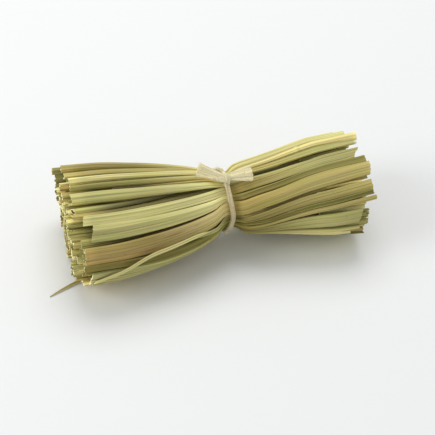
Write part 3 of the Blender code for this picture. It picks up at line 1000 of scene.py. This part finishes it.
def string_loop(pieces, rng):
    """Three plies twisted a little, once round the waist, and painted darker underneath: a painted shade."""
    made = []
    degrees = np.linspace(KNOT_ANGLE + 5, KNOT_ANGLE + 355, 260)
    outs = round_the_waist(degrees)
    turns = np.radians(degrees) * LOOP / PLY_TURN
    size = np.full(len(degrees), 1.0 * MM)
    for ply in range(PLIES):
        twist = 2 * math.pi * (turns + ply / PLIES)
        offset = 0.34 * MM * np.cos(twist)[:, None] * outs
        offset = offset + 0.42 * MM * np.sin(twist)[:, None] * np.array([1.0, 0, 0])
        course = line_course(string_line(degrees) + offset, outs, size, size)
        # painted shade: each ply is painted darker halfway round, underneath the bunch
        made.append(strand("ply", pieces, "ply", course, tone("worn cotton"), rng, 0.10))
    return made


def knot(pieces, rng):
    """The knot: a turn of string over the middle, both ends passing under it, and a small loop beside it."""
    middle = string_line(np.array([KNOT_ANGLE]))[0]
    out = round_the_waist(np.array([KNOT_ANGLE]))[0]
    away = np.array([0.0, out[2], -out[1]])  # round the waist, from the front to the back
    along = np.array([1.0, 0.0, 0.0])

    def line(steps, samples=60):
        steps = np.array(steps) * MM
        return smooth_line(middle + steps @ np.array([along, away, out]), samples)

    # Each run's places along the bunch, away and out, and its thickness, all in millimetres
    runs = [
        ([(0.5, -1.6, -0.2), (0.5, -1.3, 1.3), (0.1, -0.1, 2.25), (-0.3, 1.2, 1.6), (-0.4, 1.7, 0.1)], 1.7),
        ([(-4.2, 0.2, 1.9), (-2.2, -0.5, 1.3), (-0.4, -0.9, 0.9), (1.2, -0.5, 0.3), (1.3, 0.6, -0.3)], 1.8),
        ([(3.2, -0.8, 1.1), (1.6, -0.3, 1.1), (0.0, 0.4, 0.8), (-1.2, 0.2, 0.2), (-1.2, -0.6, -0.3)], 1.7),
        ([(0.2, 1.3, 0.6), (-0.9, 2.3, 1.9), (-2.6, 2.9, 2.6), (-3.9, 2.0, 2.4), (-3.4, 0.9, 2.0),
          (-1.6, 0.4, 1.6), (0.0, 0.3, 1.2)], 1.25),
    ]
    made = []
    for steps, size in runs:
        points = line(steps)
        outs = np.tile(out, (len(points), 1))
        spin = np.linspace(0, 2.4, len(points))
        tangents = unit(np.gradient(points, axis=0))
        sides = unit(np.cross(outs, tangents))
        ups = np.cross(tangents, sides)
        thick = np.full(len(points), 0.58 * size * MM)
        for ply in range(PLIES):
            angle = spin + 2 * math.pi * ply / PLIES
            offset = 0.25 * size * MM * (np.cos(angle)[:, None] * sides + np.sin(angle)[:, None] * ups)
            course = line_course(points + offset, ups, thick, thick)
            # painted shade: the knot's plies are painted darker than the tails' cotton, for the shade in the
            # grooves between them
            made.append(strand("knot_ply", pieces, "ply", course, 0.86 * tone("cotton"), rng))
    return made


def tail(route, widths, pieces, rng, wisps, ragged):
    """A frayed end: a soft core, and yarns that spread over it from the knot to the cut.

    widths are the widths on the way, wisps is the number of stray fibres, and ragged is how much shorter
    than the tail its shortest yarn is.
    """
    middle = string_line(np.array([KNOT_ANGLE]))[0]
    samples = 30
    line = smooth_line(middle + np.array(route) * MM, samples)
    tangents = unit(np.gradient(line, axis=0))
    fan = unit(np.cross(tangents, CAMERA_BACK))
    deep = np.cross(fan, tangents)
    share = np.linspace(0, 1, samples)
    spread = np.interp(share, np.linspace(0, 1, len(widths)), widths) * MM
    depth = np.interp(share, (0, 1), (1.5, 1.25)) * MM
    core = line_course(line, deep, 0.88 * spread, 0.7 * depth)
    made = [strand("core", pieces, "ply", core, tone("cotton"), rng)]
    for i in range(YARNS + wisps):
        angle = rng.uniform(0, 2 * math.pi)
        radius = math.sqrt(rng.uniform(0.25, 1.0))
        a, b = radius * math.cos(angle), radius * math.sin(angle)
        loose = i >= YARNS
        stray = 1.5 if loose else 1.0
        wave = rng.uniform(-0.10, 0.10, 2) * MM
        swing = np.sin(share * rng.uniform(3, 7) + rng.uniform(0, 6.3)) * share
        wider = a * spread / 2 * (1 + (stray - 1) * share**2)
        offset = fan * (wider + wave[0] * swing)[:, None]
        deeper = b * depth / 2 * (1 + 2 * (stray - 1) * share**2)
        offset = offset + deep * (deeper + wave[1] * swing)[:, None]
        reach = rng.uniform(1.03 - ragged, 1.03) if not loose else rng.uniform(1.0, 1.12)
        own_line = line[0] + (line - line[0]) * np.linspace(1, reach, samples)[:, None]
        points = smooth_line(own_line + offset, 16)
        size = np.linspace(0.34, 0.24, 16) * MM if not loose else np.linspace(0.12, 0.05, 16) * MM
        outs = np.tile(deep[0], (16, 1))
        shade = tone("cotton") * rng.uniform(0.80, 1.12)
        made.append(strand("yarn", pieces, "fibre", line_course(points, outs, size, size), shade, rng))
    return made


def fuzz(pieces, rng):
    """Fine hairs that stand out from the string."""
    made = []
    for _ in range(HAIRS):
        degrees = rng.uniform(KNOT_ANGLE + 8, KNOT_ANGLE + 352)
        out = round_the_waist(np.array([degrees]))[0]
        root = string_line(np.array([degrees]))[0] + out * STRING * 0.9
        side = rng.uniform(-1, 1, 3)
        steps = np.linspace(0, 1, 8)[:, None]
        reach = rng.uniform(0.5, 1.5) * MM
        curl = 0.5 * steps**2 * rng.uniform(-1, 1, 3)
        points = root + out * 0.1 * MM + reach * (steps * unit(side + 0.4 * out) + curl)
        size = np.linspace(0.05, 0.03, 8) * MM
        course = line_course(points, np.tile(out, (8, 1)), size, size)
        made.append(strand("hair", pieces, "fibre", course, tone("cotton"), rng))
    return made


# Places along each tail, from the middle of the string, in millimetres
LEFT_TAIL = [(-0.4, -0.2, 0.8), (-2.8, 0.2, 1.8), (-5.4, 1.2, 2.8), (-8.7, 2.3, 4.0)]
RIGHT_TAIL = [(0.4, -0.2, 0.9), (3.0, -0.7, 1.5), (5.6, -1.3, 2.0), (8.6, -2.0, 2.6)]


def tie(pieces):
    """The whole string, in place of its solid."""
    rng = np.random.default_rng([SEED, 3])
    made = string_loop(pieces, rng) + knot(pieces, rng)
    made += tail(LEFT_TAIL, (2.2, 3.2, 3.8, 4.6), pieces, rng, 18, 0.16)
    made += tail(RIGHT_TAIL, (1.9, 2.8, 4.0, 5.0), pieces, rng, 5, 0.07)
    made += fuzz(pieces, rng)
    piece = joined("cotton_string", made)
    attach(piece, "root")
    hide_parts("cotton_tie")


# ---------------------------------------------------------------- floor, light and camera


def stage():
    """A plain pale floor."""
    bpy.ops.object.select_all(action="DESELECT")
    bpy.ops.mesh.primitive_plane_add(size=3.0)
    floor = bpy.context.object
    floor.name = "floor"
    paper = Finish("floor")
    floor.data.materials.append(paper.set(colour=rgba(FLOOR), roughness=0.9, specular=0.2))


def area_light(name, place, size, watts, colour):
    """A round soft light that faces the middle of the bunch."""
    light = bpy.data.lights.new(name, "AREA")
    light.shape = "DISK"
    light.size = size
    light.energy = watts
    light.color = colour
    lamp = bpy.data.objects.new(name, light)
    lamp.location = place
    lamp.rotation_mode = "QUATERNION"
    lamp.rotation_quaternion = (WAIST - Vector(place)).to_track_quat("-Z", "Y")
    bpy.context.scene.collection.objects.link(lamp)


def lights():
    """A large soft light behind and to the right, a weak one at the left, and an even pale sky."""
    area_light("window", (0.12, 0.42, 0.85), 0.75, 4.1, (1.0, 0.99, 0.97))
    area_light("left_fill", (-0.80, 0.0, 0.45), 0.6, 3.2, (0.98, 0.99, 1.0))
    world = bpy.context.scene.world or bpy.data.worlds.new("sky")
    bpy.context.scene.world = world
    world.use_nodes = True
    sky = world.node_tree.nodes["Background"]
    sky.inputs["Color"].default_value = (0.97, 0.985, 1.0, 1.0)
    sky.inputs["Strength"].default_value = 0.56
    bpy.context.scene.view_settings.view_transform = "Standard"


CAMERA_BACK = Vector((-0.180, -0.721, 0.669)).normalized()  # from the bunch towards the camera
CAMERA_RIGHT = Vector((0.970, -0.242, 0.0)).normalized()
CAMERA_DISTANCE = 420 * MM
CAMERA_LENS = 103.8  # millimetres, on a 36 mm sensor
AIM = (-2.28, -5.86)  # of the camera, from the waist, right and up in the view, in millimetres


def camera():
    """A long lens that looks down on the bunch from the front left."""
    up = CAMERA_BACK.cross(CAMERA_RIGHT)
    aim = WAIST + CAMERA_RIGHT * AIM[0] * MM + up * AIM[1] * MM
    lens = bpy.data.cameras.new("camera")
    lens.lens = CAMERA_LENS
    lens.sensor_width = 36
    lens.clip_start = 0.01
    viewer = bpy.data.objects.new("camera", lens)
    turn = Matrix((CAMERA_RIGHT, up, CAMERA_BACK)).transposed().to_4x4()
    viewer.matrix_world = Matrix.Translation(aim + CAMERA_BACK * CAMERA_DISTANCE) @ turn
    bpy.context.scene.collection.objects.link(viewer)
    bpy.context.scene.camera = viewer


# ---------------------------------------------------------------- the whole

camera()
lights()
stage()
PIECES = straight_pieces()
every_reed(PIECES)
middle_reeds(PIECES)
all_fillers(PIECES)
tie(PIECES)
for straight in PIECES.values():
    bpy.data.objects.remove(straight)
